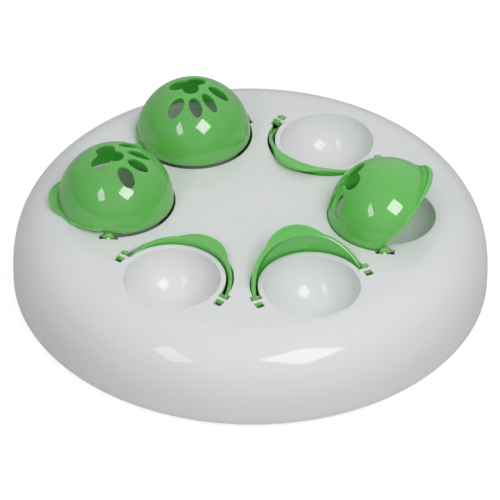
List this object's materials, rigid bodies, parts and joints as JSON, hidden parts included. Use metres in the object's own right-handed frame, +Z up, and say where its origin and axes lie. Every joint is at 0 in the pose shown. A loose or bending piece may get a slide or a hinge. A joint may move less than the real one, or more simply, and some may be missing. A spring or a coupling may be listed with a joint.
{
  "type": "pet puzzle board",
  "caption": "Round floor board with a ring of treat bowls, each under a flip-over hemispherical dome with a finger lip and paw cut-outs that nests below its bowl when open.",
  "frame": {"origin": "centre of the circle on the floor, on the underside of the feet", "axes": "+Z up, +X through the bowl whose dome is half open at rest, +Y so that the frame is right-handed"},
  "size_m": [0.32, 0.32, 0.0975],
  "materials": {
    "white_shell": "glossy moulded white plastic",
    "green_dome": "glossy moulded green plastic",
    "screw_steel": "zinc plated",
    "foot_rubber": "matt grey rubber"
  },
  "bodies": {
    "board": {"deck_shell": "white_shell", "bowl_1": "white_shell", "bowl_2": "white_shell", "bowl_3": "white_shell", "bowl_4": "white_shell", "bowl_5": "white_shell", "bowl_6": "white_shell", "base_pan": "white_shell", "base_screws": "screw_steel", "foot_1": "foot_rubber", "foot_2": "foot_rubber", "foot_3": "foot_rubber", "foot_4": "foot_rubber", "foot_5": "foot_rubber", "foot_6": "foot_rubber"},
    "dome_1": {"flip_dome_1": "green_dome"},
    "dome_2": {"flip_dome_2": "green_dome"},
    "dome_3": {"flip_dome_3": "green_dome"},
    "dome_4": {"flip_dome_4": "green_dome"},
    "dome_5": {"flip_dome_5": "green_dome"},
    "dome_6": {"flip_dome_6": "green_dome"}
  },
  "joints": [
    {"name": "dome_1_flip", "type": "hinge", "parent": "board", "child": "dome_1", "pos_m": [-0.04575, 0.07924, 0.0577], "axis": [0.866, 0.5, 0], "range_deg": [0, 171]},
    {"name": "dome_2_flip", "type": "hinge", "parent": "board", "child": "dome_2", "pos_m": [-0.0915, 0, 0.0577], "axis": [0, 1, 0], "range_deg": [0, 171]},
    {"name": "dome_3_flip", "type": "hinge", "parent": "board", "child": "dome_3", "pos_m": [-0.04575, -0.07924, 0.0577], "axis": [-0.866, 0.5, 0], "range_deg": [-171, 0]},
    {"name": "dome_4_flip", "type": "hinge", "parent": "board", "child": "dome_4", "pos_m": [0.04575, -0.07924, 0.0577], "axis": [-0.866, -0.5, 0], "range_deg": [-149.5, 21.5]},
    {"name": "dome_5_flip", "type": "hinge", "parent": "board", "child": "dome_5", "pos_m": [0.0915, 0, 0.0577], "axis": [0, -1, 0], "range_deg": [-48.5, 122.5]},
    {"name": "dome_6_flip", "type": "hinge", "parent": "board", "child": "dome_6", "pos_m": [0.04575, 0.07924, 0.0577], "axis": [0.866, -0.5, 0], "range_deg": [-171, 0]}
  ]
}
